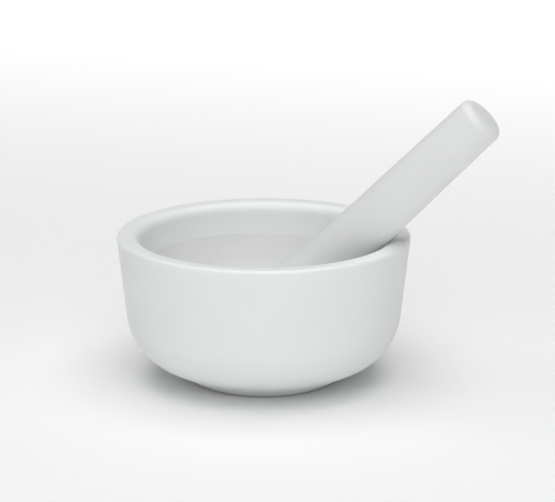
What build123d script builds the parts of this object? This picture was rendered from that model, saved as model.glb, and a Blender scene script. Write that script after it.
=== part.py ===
"""Porcelain mortar and pestle, in millimetres.

The mortar stands on the XY plane, its axis is Z and the origin is the centre of its foot.
The pestle rests in the bowl and leans on the rim towards +X, so its axis lies in the XZ plane.
"""

import os
from math import acos, asin, atan2, cos, degrees, hypot, radians, sin, sqrt, tan

from build123d import *

# Mortar, outside
rim_diameter = 100.0
mortar_height = 51.0
wall_draft = 6.7  # degrees that the outer wall leans outwards
shoulder_height = 11.0  # where the wall and the underside would meet if they weren't rounded
shoulder_fillet = 21.0
lip_outer_fillet = 1.2

# Foot
foot_root_diameter = 55.2  # where the foot meets the underside
foot_rest_diameter = 48.4  # the foot's outside at the table, before its edge is rounded
foot_height = 2.4
foot_edge_fillet = 6.0
foot_ring_width = 5.0
recess_depth = 2.0
recess_fillet = 1.2

# Mortar, inside
wall_thickness = 7.6  # measured level, from the outer wall to the bowl
floor_thickness = 9.0  # over the recess
floor_sphere_radius = 80.0
bowl_corner_fillet = 20.0
lip_inner_fillet = 3.6

# Pestle
pestle_length = 114.5
head_diameter = 25.4
head_length = 37.5  # from the tip to the neck, where the head's flare meets the handle
neck_diameter = 18.6
neck_fillet = 50.0
handle_end_diameter = 16.7
handle_end_fillet = 3.0
handle_end_crown = 0.6

# How the pestle rests
head_offset = 4.6  # from the mortar's axis to the centre of the head
rest_clearance = 0.2  # left between the pestle and the mortar, at the floor and at the lip

# The walls are cones. The outer one reaches the top a little outside the rim's own radius, because
# the lip is rounded off before it gets there.
draft = radians(wall_draft)
rim_radius = rim_diameter / 2
wall_top_radius = rim_radius + lip_outer_fillet * ((1 + sin(draft)) / cos(draft) - 1)
bowl_top_radius = wall_top_radius - wall_thickness
shoulder_radius = wall_top_radius - (mortar_height - shoulder_height) * tan(draft)
foot_root_radius = foot_root_diameter / 2
foot_rest_radius = foot_rest_diameter / 2
recess_radius = foot_rest_radius - foot_ring_width
floor_height = recess_depth + floor_thickness

# The mortar is turned about Z: an outer body, a bowl cut into it and a recess under the foot.
with BuildPart() as mortar:
    with BuildSketch(Plane.XZ) as outer_profile:
        with BuildLine():
            Polyline(
                (0, 0),
                (foot_rest_radius, 0),
                (foot_root_radius, foot_height),
                (shoulder_radius, shoulder_height),
                (wall_top_radius, mortar_height),
                (0, mortar_height),
                close=True,
            )
        make_face()
        shoulder = outer_profile.vertices().sort_by_distance((shoulder_radius, shoulder_height))[0]
        fillet(shoulder, shoulder_fillet)
        foot_edge = outer_profile.vertices().sort_by_distance((foot_rest_radius, 0))[0]
        fillet(foot_edge, foot_edge_fillet)
    revolve(axis=Axis.Z)

    # The bowl is what lies inside the wall and also inside the sphere of the floor.
    with BuildSketch(Plane.XZ) as bowl_profile:
        with BuildLine():
            Polyline(
                (0, 0),
                (bowl_top_radius - mortar_height * tan(draft), 0),
                (bowl_top_radius, mortar_height),
                (0, mortar_height),
                close=True,
            )
        make_face()
        with Locations((0, floor_height + floor_sphere_radius)):
            Circle(floor_sphere_radius, mode=Mode.INTERSECT)
        bowl_corner = bowl_profile.vertices().sort_by(Axis.X)[-2]
        fillet(bowl_corner, bowl_corner_fillet)
    revolve(axis=Axis.Z, mode=Mode.SUBTRACT)

    with BuildSketch(Plane.XY):
        Circle(recess_radius)
    extrude(amount=recess_depth, mode=Mode.SUBTRACT)

    lip_edges = mortar.edges().group_by(Axis.Z)[-1].sort_by(SortBy.RADIUS)
    fillet(lip_edges[0], lip_inner_fillet)
    lip_edges = mortar.edges().group_by(Axis.Z)[-1].sort_by(SortBy.RADIUS)
    fillet(lip_edges[-1], lip_outer_fillet)
    recess_edge = mortar.faces().filter_by(Plane.XY).sort_by(Axis.Z)[1].edges()
    fillet(recess_edge, recess_fillet)

# The head's centre stands the clearance above the floor's sphere.
head_radius = head_diameter / 2
neck_radius = neck_diameter / 2
handle_end_radius = handle_end_diameter / 2
head_reach = floor_sphere_radius - head_radius - rest_clearance
head_height = floor_height + floor_sphere_radius - sqrt(head_reach**2 - head_offset**2)

# The handle is a cone, and its side is a straight line in the profile, from the neck to its end.
neck_rise = head_length - head_radius
end_rise = pestle_length - head_radius
side_rise = end_rise - handle_end_crown
side_length = hypot(side_rise - neck_rise, neck_radius - handle_end_radius)
taper = asin((neck_radius - handle_end_radius) / side_length)
side_distance = neck_radius * cos(taper) + neck_rise * sin(taper)  # from the head's centre

# The side clears the rounded inner lip, so it is a line that passes between two circles.
lip_x = bowl_top_radius + lip_inner_fillet * (1 - sin(draft)) / cos(draft)
lip_z = mortar_height - lip_inner_fillet
lip_away = hypot(lip_x - head_offset, lip_z - head_height)
lip_angle = atan2(lip_z - head_height, lip_x - head_offset)
side_angle = lip_angle + asin((side_distance + lip_inner_fillet + rest_clearance) / lip_away)
lean = side_angle - taper  # from level, along the pestle's axis

# The head flares from the neck in a straight line that touches its round end.
neck_away = hypot(neck_radius, neck_rise)
flare_angle = atan2(neck_rise, neck_radius) - acos(head_radius / neck_away)

# The profile's own Y axis is the pestle's axis and its origin is the head's centre.
pestle_plane = Plane(
    origin=(head_offset, 0, head_height),
    x_dir=(sin(lean), 0, -cos(lean)),
    z_dir=(0, -1, 0),
)

with BuildPart() as pestle:
    with BuildSketch(pestle_plane) as pestle_profile:
        with BuildLine():
            head = CenterArc((0, 0), head_radius, -90, 90 + degrees(flare_angle))
            flare = Line(head @ 1, (neck_radius, neck_rise))
            side = Line(flare @ 1, (handle_end_radius, side_rise))
            crown_radius = (handle_end_radius**2 + handle_end_crown**2) / (2 * handle_end_crown)
            crown_angle = degrees(asin(handle_end_radius / crown_radius))
            CenterArc((0, end_rise - crown_radius), crown_radius, 90 - crown_angle, crown_angle)
            Line((0, end_rise), head @ 0)
        make_face()
        neck = pestle_profile.vertices().sort_by_distance(flare @ 1)[0]
        fillet(neck, neck_fillet)
        handle_end_edge = pestle_profile.vertices().sort_by_distance(side @ 1)[0]
        fillet(handle_end_edge, handle_end_fillet)
    revolve(axis=Axis(pestle_plane.origin, pestle_plane.y_dir))

mortar.part.label = "mortar"
pestle.part.label = "pestle"

os.makedirs("parts", exist_ok=True)
export_step(mortar.part, "parts/mortar.step")
export_step(pestle.part, "parts/pestle.step")
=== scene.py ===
"""Looks of a porcelain mortar and pestle, built round the frame that was packed from its CAD model."""

import math

import bmesh
import bpy
import numpy as np
from mathutils import Matrix, Vector


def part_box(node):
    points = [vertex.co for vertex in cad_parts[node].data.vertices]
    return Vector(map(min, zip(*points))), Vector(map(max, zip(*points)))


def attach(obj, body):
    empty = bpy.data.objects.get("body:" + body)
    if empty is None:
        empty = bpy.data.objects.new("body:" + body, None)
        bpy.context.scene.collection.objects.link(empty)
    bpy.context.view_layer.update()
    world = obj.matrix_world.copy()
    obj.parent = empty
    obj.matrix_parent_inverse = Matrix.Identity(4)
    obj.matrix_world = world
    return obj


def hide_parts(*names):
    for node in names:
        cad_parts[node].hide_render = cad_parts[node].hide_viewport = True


bl_info = {
    "name": "Porcelain Mortar and Pestle",
    "version": (1, 0, 0),
    "blender": (4, 5, 0),
    "location": "View3D > Sidebar > Porcelain",
    "description": "Turned porcelain mortar and pestle on a plain studio floor",
    "category": "Add Mesh",
}

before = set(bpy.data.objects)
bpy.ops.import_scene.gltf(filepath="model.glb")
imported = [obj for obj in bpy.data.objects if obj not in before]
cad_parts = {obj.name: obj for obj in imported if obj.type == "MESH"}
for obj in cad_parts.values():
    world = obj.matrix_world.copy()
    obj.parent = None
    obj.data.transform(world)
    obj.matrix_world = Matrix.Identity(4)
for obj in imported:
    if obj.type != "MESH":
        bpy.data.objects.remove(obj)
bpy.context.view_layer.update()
mortar_low, mortar_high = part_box("mortar")
pestle_low, pestle_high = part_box("pestle")

MM = 0.001


# ---------------------------------------------------------------------------------------------------
# Sizes and colours
# ---------------------------------------------------------------------------------------------------


def length(name, description, millimetres):
    """A length property with its default in millimetres."""
    return bpy.props.FloatProperty(
        name=name,
        description=description,
        default=millimetres * MM,
        min=0.0,
        precision=5,
        unit="LENGTH",
    )


def angle(name, description, degrees):
    """An angle property with its default in degrees."""
    return bpy.props.FloatProperty(
        name=name,
        description=description,
        default=math.radians(degrees),
        subtype="ANGLE",
    )


def linear(hex_colour):
    """Linear RGBA of an sRGB hex colour such as #F1F2F2."""
    channels = [int(hex_colour[i : i + 2], 16) / 255 for i in (1, 3, 5)]
    return [c / 12.92 if c <= 0.04045 else ((c + 0.055) / 1.055) ** 2.4 for c in channels] + [1.0]


def colour(name, description, hex_colour):
    """A colour property with its default as an sRGB hex value."""
    return bpy.props.FloatVectorProperty(
        name=name,
        description=description,
        default=linear(hex_colour),
        subtype="COLOR",
        size=4,
        min=0.0,
        max=1.0,
    )


class MortarSizes(bpy.types.PropertyGroup):
    """Sizes of the mortar. Its rim and height come from the frame."""

    rim_radius: length("Rim Radius", "Half the width over the lip", mortar_high.y / MM)
    height: length("Height", "From the table to the top of the lip", mortar_high.z / MM)
    wall_draft: angle("Wall Draft", "How far the wall leans outwards", 6.7)
    wall: length("Wall", "Thickness of the wall, measured level", 7.6)
    lip_outer_fillet: length("Outer Lip", "Rounding of the lip outside", 1.2)
    lip_inner_fillet: length("Inner Lip", "Rounding of the lip inside", 3.6)
    shoulder_height: length("Shoulder Height", "Where wall and underside would meet", 11.0)
    shoulder_fillet: length("Shoulder", "Rounding between wall and underside", 21.0)
    foot_root_radius: length("Foot Root Radius", "Where the foot meets the underside", 27.6)
    foot_rest_radius: length("Foot Rest Radius", "Foot at the table, before it is rounded", 24.2)
    foot_height: length("Foot Height", "From the table to the foot's root", 2.4)
    foot_edge_fillet: length("Foot Edge", "Rounding of the foot outside", 6.0)
    foot_root_fillet: length("Foot Root", "Hollow that the glaze leaves at the foot's root", 1.6)
    recess_radius: length("Recess Radius", "Radius of the hollow under the foot", 19.2)
    recess_depth: length("Recess Depth", "Depth of the hollow under the foot", 2.0)
    recess_fillet: length("Recess Corner", "Rounding in the recess", 1.2)
    foot_inner_edge: length("Foot Inner Edge", "Rounding of the ring's inner edge", 0.35)
    floor: length("Floor", "Thickness of the floor over the recess", 9.0)
    floor_sphere_radius: length("Floor Sphere", "Radius of the bowl's domed floor", 80.0)
    bowl_corner_fillet: length("Bowl Corner", "Rounding between floor and wall", 20.0)
    glaze_below_lip: length("Glaze Below Lip", "How far down the bowl's wall the glaze runs", 11.0)
    glaze_above_table: length("Glaze Above Table", "Where the glaze stops on the foot", 0.8)


class PestleSizes(bpy.types.PropertyGroup):
    """Sizes of the pestle. Where it lies comes from the frame."""

    total: length("Length", "From the tip of the head to the end of the handle", 114.5)
    head_radius: length("Head Radius", "Radius of the round grinding head", 12.7)
    head_length: length("Head Length", "From the tip to the neck, where the flare ends", 37.5)
    neck_radius: length("Neck Radius", "Radius where the handle meets the head", 9.3)
    neck_fillet: length("Neck Fillet", "Rounding of the hollow at the neck", 50.0)
    end_radius: length("End Radius", "Radius of the handle at its end", 8.35)
    end_fillet: length("End Fillet", "Rounding of the end's edge", 3.0)
    end_crown: length("End Crown", "How far the end swells out", 0.6)
    glaze_above_head: length("Glaze Above Head", "From the head's centre to the glaze", 12.0)


class PorcelainFinish(bpy.types.PropertyGroup):
    """Colours and small relief of the glaze and of the bare body."""

    mortar_glaze: colour("Mortar Glaze", "White porcelain seen through the mortar's glaze", "#EEF0F0")
    # Painted shade: the pestle's glaze is the mortar's porcelain glaze made greyer, to darken the
    # pestle as shade would.
    pestle_glaze_painted_shade: colour("Pestle Glaze", "A little greyer than the mortar's", "#E6E7E7")
    cloud_tint: colour("Glaze Clouds", "Multiplies the glaze where it lies thicker", "#FBFCFC")
    bare_colour: colour("Bare Body", "Porcelain fired without glaze", "#EAEBEA")
    bare_grain_colour: colour("Bare Grain", "Hollows of the bare body", "#DFE0DF")
    speck_colour: colour("Specks", "Iron specks in the clay", "#B4AEA6")
    glaze_bead: length("Glaze Bead", "Height of the rounded edge where glaze stops", 0.07)
    glaze_bead_width: length("Bead Width", "Width of that edge", 0.7)
    glaze_wander: length("Glaze Wander", "How far the glaze line strays up and down", 0.3)
    unevenness: length("Unevenness", "How far turned surfaces stray from true", 0.05)
    ring_spacing: length("Ring Spacing", "Distance between rings of the mesh", 1.1)
    segments: bpy.props.IntProperty(
        name="Segments", description="Faces round each turned piece", default=256, min=32
    )


class StudioSettings(bpy.types.PropertyGroup):
    """Floor, lights and camera."""

    floor_colour: colour("Floor", "Seamless paper under the mortar", "#FBFBFB")
    floor_radius: length("Floor Radius", "Half the width of the paper", 6000.0)
    camera_azimuth: angle("Azimuth", "How far the camera stands to the right of the front", 15.0)
    camera_elevation: angle("Elevation", "How far the camera looks down", 15.8)
    camera_distance: length("Distance", "From the camera to the middle of the mortar", 1170.0)
    camera_right: length("Aim Right", "How far the camera aims to the right of the mortar", 4.7)
    camera_up: length("Aim Up", "How far the camera aims above its middle", 18.5)
    camera_lens: bpy.props.FloatProperty(
        name="Lens", description="Focal length in millimetres", default=221.6, min=1.0
    )
    room_strength: bpy.props.FloatProperty(
        name="Room Light", description="Brightness of the room overhead", default=0.135, min=0.0
    )
    wall_strength: bpy.props.FloatProperty(
        name="Wall Light", description="Brightness of the wall along the horizon", default=0.9, min=0.0
    )


PROPERTY_GROUPS = {
    "mortar_sizes": MortarSizes,
    "pestle_sizes": PestleSizes,
    "porcelain_finish": PorcelainFinish,
    "studio_settings": StudioSettings,
}


# ---------------------------------------------------------------------------------------------------
# Profiles: points (radius, height) of a turned piece, from its lower end on the axis, outside first
# ---------------------------------------------------------------------------------------------------

# A profile's points are about this far apart.
FINE_STEP = 0.05 * MM


def direction(at_angle):
    """Unit vector at an angle from the radius axis."""
    return Vector((math.cos(at_angle), math.sin(at_angle)))


def run(start, end):
    """Points of a straight stretch, without its last point."""
    count = max(2, round((end - start).length / FINE_STEP))
    return [start.lerp(end, i / count) for i in range(count)]


def arc(centre, radius, first, last):
    """Points of an arc between two angles, without its last point."""
    count = max(6, round(abs(last - first) * radius / FINE_STEP))
    return [centre + radius * direction(first + (last - first) * i / count) for i in range(count)]


def rounded(corner, before, after, fillet):
    """Points of the arc that rounds a corner between the points before and after it."""
    back = (before - corner).normalized()
    ahead = (after - corner).normalized()
    half = back.angle(ahead) / 2
    centre = corner + (back + ahead).normalized() * fillet / math.sin(half)
    touch_back = corner + back * fillet / math.tan(half)
    touch_ahead = corner + ahead * fillet / math.tan(half)
    first = math.atan2(*(touch_back - centre).yx)
    turn = math.remainder(math.atan2(*(touch_ahead - centre).yx) - first, 2 * math.pi)
    return arc(centre, fillet, first, first + turn)


def outline(corners):
    """Points along straight sides whose corners are (radius, height, fillet)."""
    places = [Vector(c[:2]) for c in corners]
    points = [places[0]]
    for i in range(1, len(corners) - 1):
        bend = [places[i]]
        if corners[i][2] > 0:
            bend = rounded(places[i], places[i - 1], places[i + 1], corners[i][2])
        points += run(points[-1], bend[0])[1:] + bend
    return points + run(points[-1], places[-1])[1:]


def on_line(start, along, centre, reach):
    """The last point of the line from start that lies at that distance from centre."""
    offset = start - centre
    middle = -offset.dot(along)
    return start + along * (middle + math.sqrt(middle**2 - offset.length_squared + reach**2))


def angle_of(vector):
    """Angle of a vector from the radius axis."""
    return math.atan2(vector.y, vector.x)


def mortar_profile(sizes):
    """Recess, foot, underside, outer wall and lip, then down the bowl's wall to its floor."""
    draft = sizes.wall_draft
    lip = sizes.lip_outer_fillet
    wall_top = sizes.rim_radius + lip * ((1 + math.sin(draft)) / math.cos(draft) - 1)
    bowl_top = wall_top - sizes.wall
    shoulder = wall_top - (sizes.height - sizes.shoulder_height) * math.tan(draft)

    # The bowl's corner is an arc that touches the wall and the sphere of the floor.
    down = -direction(math.pi / 2 - draft)
    inward = direction(math.pi - draft)
    sphere = Vector((0, sizes.recess_depth + sizes.floor + sizes.floor_sphere_radius))
    corner_reach = sizes.floor_sphere_radius - sizes.bowl_corner_fillet
    wall_start = Vector((bowl_top, sizes.height))
    corner = on_line(wall_start + inward * sizes.bowl_corner_fillet, down, sphere, corner_reach)
    wall_end = corner - inward * sizes.bowl_corner_fillet
    floor_angle = angle_of(corner - sphere)

    points = outline(
        [
            (0, sizes.recess_depth, 0),
            (sizes.recess_radius, sizes.recess_depth, sizes.recess_fillet),
            (sizes.recess_radius, 0, sizes.foot_inner_edge),
            (sizes.foot_rest_radius, 0, sizes.foot_edge_fillet),
            (sizes.foot_root_radius, sizes.foot_height, sizes.foot_root_fillet),
            (shoulder, sizes.shoulder_height, sizes.shoulder_fillet),
            (wall_top, sizes.height, sizes.lip_outer_fillet),
            (bowl_top, sizes.height, sizes.lip_inner_fillet),
            (*wall_end, 0),
        ]
    )
    points += arc(corner, sizes.bowl_corner_fillet, -draft, floor_angle)
    points += arc(sphere, sizes.floor_sphere_radius, floor_angle, -math.pi / 2)
    return points + [Vector((0, sizes.recess_depth + sizes.floor))]


def pestle_profile(sizes):
    """Head, neck, handle and end, upright with the head's centre at zero, and the edge's centre."""
    middle = Vector((0, 0))
    neck = Vector((sizes.neck_radius, sizes.head_length - sizes.head_radius))
    flare_angle = angle_of(neck) - math.acos(sizes.head_radius / neck.length)
    flare_start = sizes.head_radius * direction(flare_angle)
    end_height = sizes.total - sizes.head_radius
    side_end = Vector((sizes.end_radius, end_height - sizes.end_crown))
    side = (side_end - neck).normalized()
    outward = Vector((side.y, -side.x))

    # The end's rounded edge touches the handle's side and the crown from inside.
    crown_radius = (sizes.end_radius**2 + sizes.end_crown**2) / (2 * sizes.end_crown)
    crown = Vector((0, end_height - crown_radius))
    edge = on_line(neck - outward * sizes.end_fillet, side, crown, crown_radius - sizes.end_fillet)
    crown_angle = angle_of(edge - crown)

    hollow = rounded(neck, flare_start, side_end, sizes.neck_fillet)
    points = arc(middle, sizes.head_radius, -math.pi / 2, flare_angle)
    points += run(flare_start, hollow[0]) + hollow
    points += run(points[-1], edge + outward * sizes.end_fillet)[1:]
    points += arc(edge, sizes.end_fillet, angle_of(outward), crown_angle)
    points += arc(crown, crown_radius, crown_angle, math.pi / 2)
    return points + [Vector((0, end_height))], edge


# ---------------------------------------------------------------------------------------------------
# Turning a profile into a mesh
# ---------------------------------------------------------------------------------------------------


# Rings are this far apart at a glaze line, and the gap widens over this distance from it.
GLAZE_LINE_STEP = 0.12 * MM
GLAZE_LINE_REACH = 0.8 * MM
# A profile turns by at most this much between rings, though a bend under the radius gets no more.
BEND_STEP = math.radians(7)
TIGHTEST_BEND = 0.3 * MM
# Rings within this distance of a glaze line follow it where it strays.
STRAY_REACH = 2.5 * MM
# A glaze line strays by at most this share of its distance from the next one.
STRAY_SHARE = 0.25
# A ring that misses its glaze line by less than this, in metres, lies on it.
ROUNDING = 1e-9
# Unevenness along the profile repeats over the first distance and fades out over the second.
DRIFT_LENGTH = 60 * MM
FADE_LENGTH = 8 * MM


class Path:
    """A profile as functions of the distance along it."""

    def __init__(self, points):
        self.points = np.array(points, float)
        steps = np.linalg.norm(np.diff(self.points, axis=0), axis=1)
        self.distance = np.concatenate([[0], np.cumsum(steps)])
        tangent = np.gradient(self.points, self.distance, axis=0)
        tangent /= np.linalg.norm(tangent, axis=1, keepdims=True)
        self.normal = np.stack([tangent[:, 1], -tangent[:, 0]], axis=1)
        turn = np.unwrap(np.arctan2(tangent[:, 1], tangent[:, 0]))
        self.bend = np.abs(np.gradient(turn, self.distance))

    def at(self, places, values):
        """Values of an array along the profile, read at the given distances."""
        return np.stack([np.interp(places, self.distance, v) for v in values.T], axis=-1)

    def first(self, passes, after=-1.0):
        """Distance of the first point past a distance whose radius and height pass the test."""
        for place, point in zip(self.distance, self.points):
            if place > after and passes(*point):
                return place
        raise RuntimeError("the profile has no such place")

    def rings(self, spacing, glaze_lines):
        """Distances of the mesh's rings: closer together where the profile bends or glaze ends."""
        nearest = np.min([np.abs(self.distance - line) for line in glaze_lines], axis=0)
        density = np.maximum(1 / spacing, np.minimum(self.bend, 1 / TIGHTEST_BEND) / BEND_STEP)
        density += (1 / GLAZE_LINE_STEP) * np.exp(-((nearest / GLAZE_LINE_REACH) ** 2))
        steps = (density[1:] + density[:-1]) / 2 * np.diff(self.distance)
        total = np.concatenate([[0], np.cumsum(steps)])
        count = round(total[-1])
        places = np.interp(np.linspace(0, total[-1], count + 1), total, self.distance)
        return np.unique(np.concatenate([places, glaze_lines]))


def slow_wave(turn, seed, waves=4):
    """A smooth closed wave round the axis, from -1 to 1, the same each time for the same seed."""
    random = np.random.default_rng(seed)
    counts = np.arange(1, waves + 1)
    heights = random.uniform(0.4, 1.0, waves) / counts
    phases = random.uniform(0, 2 * math.pi, waves)
    wave = sum(h * np.cos(c * turn + p) for h, c, p in zip(heights, counts, phases))
    return wave / heights.sum()


def bead_shape(inside):
    """Height of the glaze's rounded edge, from 0 at the glaze line to 0 again a bead's width in."""
    across = np.clip(inside, 0, 1)
    return np.sin(math.pi * np.sqrt(across)) ** 2


def turned_surface(path, places, turn, glaze_lines, glazed_first, finish, seed):
    """Radius and height of each ring's points, with the glaze's edge and the ware's unevenness."""
    # The glaze line strays a little, and the rings beside it follow.
    strayed = np.repeat(places[:, None], len(turn), axis=1)
    bead = np.zeros(len(places))
    for i, line in enumerate(glaze_lines):
        near = np.exp(-(((places - line) / STRAY_REACH) ** 2))
        gaps = [abs(line - other) for other in glaze_lines if other != line]
        wander = min([finish.glaze_wander] + [STRAY_SHARE * gap for gap in gaps])
        strayed += near[:, None] * wander * slow_wave(turn, seed + i)[None, :]
        glazed_side = 1 if (i % 2 == 0) != glazed_first else -1
        inside = (places - line) * glazed_side / finish.glaze_bead_width
        bead += finish.glaze_bead * bead_shape(inside)
    strayed = np.clip(strayed, path.distance[0], path.distance[-1])

    # Turned ware is never quite round: every stray is inwards, so that it stays inside its size.
    drift = slow_wave(places / DRIFT_LENGTH * 2 * math.pi, seed + 10)[:, None]
    stray = (slow_wave(turn, seed + 20, 5)[None, :] + drift) / 2
    fade = np.clip(np.minimum(places, places[-1] - places) / FADE_LENGTH, 0, 1)[:, None]
    lift = bead[:, None] - finish.unevenness * (stray + 1) / 2 * fade

    shaped = path.at(strayed, path.points) + path.at(strayed, path.normal) * lift[..., None]
    low, high = path.points.min(axis=0), path.points.max(axis=0)
    return np.clip(shaped[..., 0], 0, high[0]), np.clip(shaped[..., 1], low[1], high[1])


def turned_mesh(name, path, glaze_lines, glazed_first, finish, seed):
    """A turned piece with its glaze lines. Faces take slot 0 where glazed and slot 1 where bare."""
    places = path.rings(finish.ring_spacing, glaze_lines)
    turn = np.linspace(0, 2 * math.pi, finish.segments, endpoint=False)
    radius, height = turned_surface(path, places, turn, glaze_lines, glazed_first, finish, seed)

    # The first and last rings lie on the axis, so each is a single point.
    mesh = bmesh.new()
    rows = []
    for ring_radius, ring_height in zip(radius[1:-1], height[1:-1]):
        ring = zip(ring_radius, ring_height, turn)
        rows.append([mesh.verts.new((r * math.cos(t), r * math.sin(t), h)) for r, h, t in ring])
    bottom = mesh.verts.new((0, 0, height[0].mean()))
    top = mesh.verts.new((0, 0, height[-1].mean()))
    zones = [sum(p >= line - ROUNDING for line in glaze_lines) for p in places]
    for i in range(len(places) - 1):
        bare = (zones[i] % 2 == 0) != glazed_first
        for a in range(len(turn)):
            b = (a + 1) % len(turn)
            if i == 0:
                corners = (bottom, rows[0][b], rows[0][a])
            elif i == len(places) - 2:
                corners = (top, rows[-1][a], rows[-1][b])
            else:
                corners = (rows[i - 1][a], rows[i - 1][b], rows[i][b], rows[i][a])
            face = mesh.faces.new(corners)
            face.smooth = True
            face.material_index = 1 if bare else 0
    mesh.normal_update()
    data = bpy.data.meshes.new(name)
    mesh.to_mesh(data)
    mesh.free()
    return data


# ---------------------------------------------------------------------------------------------------
# Materials
# ---------------------------------------------------------------------------------------------------


# A Mix node's inputs for colours, which share their names with others and so go by number.
MIX_FACTOR, MIX_A, MIX_B = 0, 6, 7
# A Wave texture of scale 1 repeats over this length.
WAVE_PERIOD = 0.314
# How far red, green and blue light scatter through porcelain, as shares of the subsurface scale.
SCATTER_COLOURS = (1.0, 0.9, 0.8)
PORCELAIN_IOR = 1.5
# This share of the cells that could hold a speck have none, and specks are tinted this strongly.
SPECKLESS_SHARE = 0.67
GLAZED_SPECK_STRENGTH = 0.35
BARE_SPECK_STRENGTH = 0.5


def add_node(tree, kind, inputs=None, **settings):
    """Adds a node, sets it up, and fills its inputs with values or with other nodes' outputs."""
    made = tree.nodes.new(kind)
    for name, value in settings.items():
        setattr(made, name, value)
    for socket, value in (inputs or {}).items():
        if isinstance(value, bpy.types.NodeSocket):
            tree.links.new(value, made.inputs[socket])
        else:
            made.inputs[socket].default_value = value
    return made


def new_material(name, tilt=0.0):
    """An empty material, with its node tree and coordinates whose Z axis is the piece's own axis."""
    material = bpy.data.materials.new(name)
    material.use_nodes = True
    tree = material.node_tree
    tree.nodes.clear()
    where = add_node(tree, "ShaderNodeTexCoord").outputs["Object"]
    place = add_node(tree, "ShaderNodeMapping", {"Vector": where, "Rotation": (0, -tilt, 0)})
    return material, tree, place.outputs[0]


def per_metre(millimetres):
    """Texture scale that gives features of this size."""
    return 1 / (millimetres * MM)


def specks(tree, place, spacing, size):
    """1 in small round specks, about one in three cells of the given spacing, in millimetres."""
    cells = add_node(
        tree,
        "ShaderNodeTexVoronoi",
        {"Vector": place, "Scale": per_metre(spacing), "Randomness": 1.0},
    )
    edge = size / 2 / spacing
    dot = add_node(
        tree,
        "ShaderNodeMapRange",
        {
            "Value": cells.outputs["Distance"],
            "From Min": 0.5 * edge,
            "From Max": edge,
            "To Min": 1.0,
            "To Max": 0.0,
        },
        interpolation_type="SMOOTHSTEP",
    )
    chosen = add_node(tree, "ShaderNodeSeparateColor", {"Color": cells.outputs["Color"]})
    few = add_node(
        tree, "ShaderNodeMath", {0: chosen.outputs["Red"], 1: SPECKLESS_SHARE}, operation="GREATER_THAN"
    )
    return add_node(
        tree, "ShaderNodeMath", {0: dot.outputs[0], 1: few.outputs[0]}, operation="MULTIPLY"
    ).outputs[0]


def satin_glaze(finish, name, glaze):
    """White porcelain under a satin feldspar glaze, dipped and fired.

    The clay is dense and a little translucent, so thin lips look soft, and the glaze gives wide, weak
    highlights that wander slightly because it flowed before it set.
    """
    material, tree, place = new_material(name)
    clouds = add_node(
        tree,
        "ShaderNodeTexNoise",
        {"Vector": place, "Scale": per_metre(14), "Detail": 3.0, "Roughness": 0.5},
    )
    tint = add_node(
        tree,
        "ShaderNodeMix",
        {MIX_FACTOR: clouds.outputs["Fac"], MIX_A: glaze, MIX_B: finish.cloud_tint},
        data_type="RGBA",
        blend_type="MULTIPLY",
    )
    # Iron specks are 0.1 mm in real clay and are drawn 0.35 mm wide, or they wouldn't show at all.
    speck = specks(tree, place, spacing=9, size=0.35)
    faint = add_node(
        tree, "ShaderNodeMath", {0: speck, 1: GLAZED_SPECK_STRENGTH}, operation="MULTIPLY"
    )
    skin = add_node(
        tree,
        "ShaderNodeMix",
        {MIX_FACTOR: faint.outputs[0], MIX_A: tint.outputs[2], MIX_B: finish.speck_colour},
        data_type="RGBA",
    )
    dullness = add_node(
        tree,
        "ShaderNodeMapRange",
        {
            "Value": clouds.outputs["Fac"],
            "From Min": 0.3,
            "From Max": 0.7,
            "To Min": 0.42,
            "To Max": 0.50,
        },
    )
    # Glaze ripples are 2 to 3 mm apart and a few thousandths of a millimetre high.
    ripple = add_node(
        tree,
        "ShaderNodeTexNoise",
        {"Vector": place, "Scale": per_metre(2.6), "Detail": 2.0, "Roughness": 0.4},
    )
    relief = add_node(
        tree,
        "ShaderNodeBump",
        {"Height": ripple.outputs["Fac"], "Strength": 1.0, "Distance": 0.006 * MM},
    )
    shader = add_node(
        tree,
        "ShaderNodeBsdfPrincipled",
        {
            "Base Color": skin.outputs[2],
            "Roughness": dullness.outputs[0],
            "IOR": PORCELAIN_IOR,
            "Normal": relief.outputs[0],
            "Subsurface Weight": 0.25,
            "Subsurface Radius": SCATTER_COLOURS,
            "Subsurface Scale": 1.2 * MM,
        },
    )
    add_node(tree, "ShaderNodeOutputMaterial", {"Surface": shader.outputs[0]})
    return material


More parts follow.
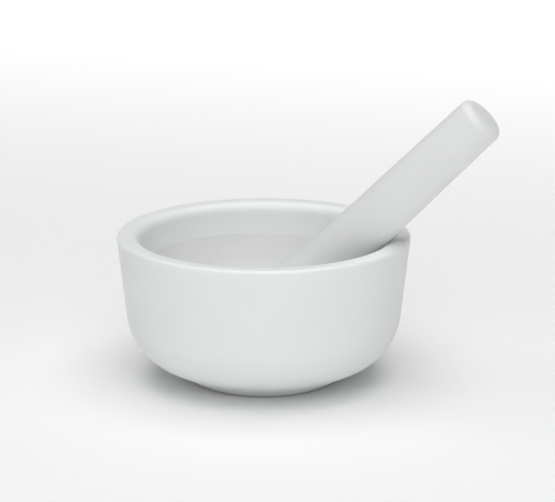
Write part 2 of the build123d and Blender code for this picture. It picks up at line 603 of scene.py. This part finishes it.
def bare_porcelain(finish, name, marks, tilt=0.0):
    """Unglazed porcelain, turned and then fired: matt and finely gritty.

    It shows the faint marks of the turning tool: BANDS that run across the piece's axis, or RINGS that
    spread out from its origin. tilt is how far that axis leans towards +X.
    """
    material, tree, place = new_material(name, tilt)
    # The grit of fired porcelain is under 0.05 mm, and is drawn at 0.4 mm so that it shows.
    grit = add_node(
        tree,
        "ShaderNodeTexNoise",
        {"Vector": place, "Scale": per_metre(0.4), "Detail": 4.0, "Roughness": 0.6},
    )
    patches = add_node(
        tree,
        "ShaderNodeTexNoise",
        {"Vector": place, "Scale": per_metre(9), "Detail": 3.0, "Roughness": 0.55},
    )
    shade = add_node(
        tree,
        "ShaderNodeMath",
        {0: grit.outputs["Fac"], 1: patches.outputs["Fac"]},
        operation="MULTIPLY",
    )
    body = add_node(
        tree,
        "ShaderNodeMix",
        {MIX_FACTOR: shade.outputs[0], MIX_A: finish.bare_colour, MIX_B: finish.bare_grain_colour},
        data_type="RGBA",
    )
    speck = specks(tree, place, spacing=5, size=0.4)
    faint = add_node(tree, "ShaderNodeMath", {0: speck, 1: BARE_SPECK_STRENGTH}, operation="MULTIPLY")
    skin = add_node(
        tree,
        "ShaderNodeMix",
        {MIX_FACTOR: faint.outputs[0], MIX_A: body.outputs[2], MIX_B: finish.speck_colour},
        data_type="RGBA",
    )
    # The tool moved 0.9 mm each turn.
    tool_marks = add_node(
        tree,
        "ShaderNodeTexWave",
        {
            "Vector": place,
            "Scale": WAVE_PERIOD * per_metre(0.9),
            "Distortion": 1.5,
            "Detail": 1.0,
            "Detail Scale": 0.4,
        },
        wave_type=marks,
        bands_direction="Z",
        rings_direction="SPHERICAL",
    )
    rings = add_node(
        tree,
        "ShaderNodeBump",
        {"Height": tool_marks.outputs["Fac"], "Strength": 1.0, "Distance": 0.006 * MM},
    )
    relief = add_node(
        tree,
        "ShaderNodeBump",
        {
            "Height": grit.outputs["Fac"],
            "Strength": 1.0,
            "Distance": 0.025 * MM,
            "Normal": rings.outputs[0],
        },
    )
    shader = add_node(
        tree,
        "ShaderNodeBsdfPrincipled",
        {
            "Base Color": skin.outputs[2],
            "Roughness": 0.72,
            "IOR": PORCELAIN_IOR,
            "Normal": relief.outputs[0],
            "Subsurface Weight": 0.2,
            "Subsurface Radius": SCATTER_COLOURS,
            "Subsurface Scale": 1.0 * MM,
        },
    )
    add_node(tree, "ShaderNodeOutputMaterial", {"Surface": shader.outputs[0]})
    return material


# The paper's painted glow starts and is full at these distances in metres, at this share of the wall.
GLOW_START, GLOW_END = 0.2, 2.1
PAPER_GLOW_SHARE = 0.83


def studio_paper(settings):
    """Seamless white background paper: matt, with a faint felt of fibres, and a painted glow far from
    the ware.
    """
    material, tree, place = new_material("studio_paper")
    fibres = add_node(
        tree,
        "ShaderNodeTexNoise",
        {"Vector": place, "Scale": per_metre(1.5), "Detail": 3.0},
    )
    relief = add_node(
        tree,
        "ShaderNodeBump",
        {"Height": fibres.outputs["Fac"], "Strength": 0.3, "Distance": 0.01 * MM},
    )
    # Painted glow: far from the ware the paper gives off light of its own, so that it runs into the
    # bright wall.
    reach = add_node(tree, "ShaderNodeVectorMath", {0: place}, operation="LENGTH")
    painted_far_glow = add_node(
        tree,
        "ShaderNodeMapRange",
        {
            "Value": reach.outputs["Value"],
            "From Min": GLOW_START,
            "From Max": GLOW_END,
            "To Min": 0.0,
            "To Max": PAPER_GLOW_SHARE * settings.wall_strength,
        },
        interpolation_type="SMOOTHSTEP",
    )
    shader = add_node(
        tree,
        "ShaderNodeBsdfPrincipled",
        {
            "Base Color": settings.floor_colour,
            "Emission Color": settings.floor_colour,
            "Emission Strength": painted_far_glow.outputs[0],
            "Roughness": 0.9,
            "Normal": relief.outputs[0],
            "Specular IOR Level": 0.2,
        },
    )
    add_node(tree, "ShaderNodeOutputMaterial", {"Surface": shader.outputs[0]})
    return material


# ---------------------------------------------------------------------------------------------------
# Pieces
# ---------------------------------------------------------------------------------------------------


def add_piece(name, mesh, materials, node):
    """Links a mesh as the piece that stands for a CAD node."""
    for material in materials:
        mesh.materials.append(material)
    piece = bpy.data.objects.new(name, mesh)
    bpy.context.scene.collection.objects.link(piece)
    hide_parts(node)
    return piece


class PORCELAIN_OT_mortar(bpy.types.Operator):
    """Turn the mortar, with a bare foot ring and a bare grinding zone in the bowl"""

    bl_idname = "porcelain.mortar"
    bl_label = "Mortar"

    def execute(self, context):
        sizes = context.scene.mortar_sizes
        finish = context.scene.porcelain_finish
        path = Path(mortar_profile(sizes))
        lip = path.distance[path.points[:, 1].argmax()]
        bowl_glaze = sizes.height - sizes.glaze_below_lip
        foot_glaze = sizes.glaze_above_table
        recess_wall = 0.9 * sizes.recess_radius
        foot_middle = (sizes.recess_radius + sizes.foot_rest_radius) / 2
        glaze_lines = [
            path.first(lambda r, z: r > recess_wall and z < foot_glaze),
            path.first(lambda r, z: r > foot_middle and z > foot_glaze),
            path.first(lambda r, z: z < bowl_glaze, after=lip),
        ]
        mesh = turned_mesh("mortar", path, glaze_lines, True, finish, seed=3)
        bare = bare_porcelain(finish, "bare_mortar_body", "RINGS")
        glaze = satin_glaze(finish, "satin_mortar_glaze", finish.mortar_glaze)
        piece = add_piece("mortar_ware", mesh, [glaze, bare], "mortar")
        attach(piece, "mortar")
        return {"FINISHED"}


def pestle_place(sizes, edge):
    """Where the head's centre is and how far the pestle tilts from upright towards +X.

    Its round head and its end's rounded edge both touch the box of the CAD node.
    """
    head = Vector((pestle_low.x + sizes.head_radius, 0, pestle_low.z + sizes.head_radius))
    rise = pestle_high.z - head.z - sizes.end_fillet
    tilt = math.acos(rise / edge.length) + math.atan2(edge.x, edge.y)
    return head, tilt


class PORCELAIN_OT_pestle(bpy.types.Operator):
    """Turn the pestle, glazed down to its head, and lay it in the mortar"""

    bl_idname = "porcelain.pestle"
    bl_label = "Pestle"

    def execute(self, context):
        sizes = context.scene.pestle_sizes
        finish = context.scene.porcelain_finish
        points, edge = pestle_profile(sizes)
        path = Path(points)
        glaze_lines = [path.first(lambda r, z: z > sizes.glaze_above_head)]
        mesh = turned_mesh("pestle", path, glaze_lines, False, finish, seed=8)
        head, tilt = pestle_place(sizes, edge)
        mesh.transform(Matrix.Rotation(tilt, 4, "Y"))
        bare = bare_porcelain(finish, "bare_pestle_head", "BANDS", tilt)
        # The pestle's glaze colour holds painted shade: it is greyer than the mortar's glaze.
        glaze = satin_glaze(finish, "satin_pestle_glaze", finish.pestle_glaze_painted_shade)
        piece = add_piece("pestle_ware", mesh, [glaze, bare], "pestle")
        piece.location = head
        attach(piece, "pestle")
        return {"FINISHED"}


# ---------------------------------------------------------------------------------------------------
# Studio
# ---------------------------------------------------------------------------------------------------

# Each light that faces the frame's origin: name, azimuth and elevation in degrees, distance, width
# and height in metres, watts.
LIGHTS = (
    ("overhead_softbox", 0, 88, 1.4, 1.6, 1.6, 16.5),
    ("high_front_softbox", 15, 45, 1.6, 1.2, 0.8, 4.4),
    ("front_softbox", 0, 30, 1.8, 1.4, 0.9, 1.0),
    ("low_softbox", 15, 22, 1.9, 1.0, 0.7, 4.6),
)
# The light on the paper behind: its place and aim in metres, and its size and watts.
PAPER_LIGHT = ("paper_softbox", (0, 0.55, 0.9), (0, 0.7, 0), 1.4, 0.5, 0.94)
PAPER_LIGHT_SPREAD = math.radians(60)


def away(azimuth, elevation):
    """Unit vector towards a place seen from the object. Azimuth 0 is the front, 90 the right."""
    flat = math.cos(elevation)
    return Vector((math.sin(azimuth) * flat, -math.cos(azimuth) * flat, math.sin(elevation)))


def add_floor(settings):
    """A round sheet of paper that ends just below the horizon in low views."""
    mesh = bmesh.new()
    bmesh.ops.create_circle(mesh, cap_ends=True, radius=settings.floor_radius, segments=96)
    data = bpy.data.meshes.new("studio_floor")
    mesh.to_mesh(data)
    mesh.free()
    data.materials.append(studio_paper(settings))
    floor = bpy.data.objects.new("studio_floor", data)
    floor.location.z = mortar_low.z
    bpy.context.scene.collection.objects.link(floor)


def add_light(name, place, aim, width, height, watts):
    """A soft rectangular light that faces a point."""
    data = bpy.data.lights.new(name, "AREA")
    data.shape = "RECTANGLE"
    data.size = width
    data.size_y = height
    data.energy = watts
    light = bpy.data.objects.new(name, data)
    light.location = place
    light.rotation_euler = (Vector(place) - Vector(aim)).to_track_quat("Z", "Y").to_euler()
    bpy.context.scene.collection.objects.link(light)
    return data


def add_camera(settings):
    """A long lens, a little above the mortar."""
    back = away(settings.camera_azimuth, settings.camera_elevation)
    right = Vector((math.cos(settings.camera_azimuth), math.sin(settings.camera_azimuth), 0))
    up = back.cross(right)
    middle = Vector((0, 0, (mortar_low.z + mortar_high.z) / 2))
    data = bpy.data.cameras.new("camera")
    data.lens = settings.camera_lens
    camera = bpy.data.objects.new("camera", data)
    camera.location = middle + back * settings.camera_distance
    target = middle + right * settings.camera_right + up * settings.camera_up
    camera.rotation_euler = (camera.location - target).to_track_quat("Z", "Y").to_euler()
    bpy.context.scene.collection.objects.link(camera)
    bpy.context.scene.camera = camera


# The wall fades into the room between these heights, as sines of the elevation.
WALL_FADE_START, WALL_FADE_END = 0.03, 0.12


def add_room(settings):
    """A dim white room with a bright wall all round, low along the horizon."""
    world = bpy.data.worlds.new("white_room")
    world.use_nodes = True
    tree = world.node_tree
    tree.nodes.clear()
    where = add_node(tree, "ShaderNodeTexCoord").outputs["Generated"]
    rise = add_node(tree, "ShaderNodeSeparateXYZ", {"Vector": where})
    strength = add_node(
        tree,
        "ShaderNodeMapRange",
        {
            "Value": rise.outputs["Z"],
            "From Min": WALL_FADE_START,
            "From Max": WALL_FADE_END,
            "To Min": settings.wall_strength,
            "To Max": settings.room_strength,
        },
        interpolation_type="SMOOTHSTEP",
    )
    glow = add_node(
        tree, "ShaderNodeBackground", {"Color": linear("#FFFFFF"), "Strength": strength.outputs[0]}
    )
    add_node(tree, "ShaderNodeOutputWorld", {"Surface": glow.outputs[0]})
    bpy.context.scene.world = world


class PORCELAIN_OT_studio(bpy.types.Operator):
    """Set up the floor, the lights and the camera"""

    bl_idname = "porcelain.studio"
    bl_label = "Studio"

    def execute(self, context):
        settings = context.scene.studio_settings
        add_floor(settings)
        for name, azimuth, elevation, distance, *size_and_watts in LIGHTS:
            place = distance * away(math.radians(azimuth), math.radians(elevation))
            add_light(name, place, (0, 0, 0), *size_and_watts)
        add_light(*PAPER_LIGHT).spread = PAPER_LIGHT_SPREAD
        add_camera(settings)
        add_room(settings)
        context.scene.view_settings.view_transform = "Standard"
        return {"FINISHED"}


# ---------------------------------------------------------------------------------------------------
# Add-on
# ---------------------------------------------------------------------------------------------------

OPERATORS = (PORCELAIN_OT_mortar, PORCELAIN_OT_pestle, PORCELAIN_OT_studio)


class PORCELAIN_PT_panel(bpy.types.Panel):
    """Lists the pieces and the stage"""

    bl_label = "Mortar and Pestle"
    bl_idname = "PORCELAIN_PT_panel"
    bl_space_type = "VIEW_3D"
    bl_region_type = "UI"
    bl_category = "Porcelain"

    def draw(self, context):
        for operator in OPERATORS:
            self.layout.operator(operator.bl_idname)


def register():
    for group in PROPERTY_GROUPS.values():
        bpy.utils.register_class(group)
    for name, group in PROPERTY_GROUPS.items():
        setattr(bpy.types.Scene, name, bpy.props.PointerProperty(type=group))
    for kind in (*OPERATORS, PORCELAIN_PT_panel):
        bpy.utils.register_class(kind)


def unregister():
    for kind in reversed((*OPERATORS, PORCELAIN_PT_panel)):
        bpy.utils.unregister_class(kind)
    for name in PROPERTY_GROUPS:
        delattr(bpy.types.Scene, name)
    for group in reversed(PROPERTY_GROUPS.values()):
        bpy.utils.unregister_class(group)


def main():
    register()
    for operator in OPERATORS:
        group, name = operator.bl_idname.split(".")
        getattr(getattr(bpy.ops, group), name)()


if __name__ == "__main__":
    main()
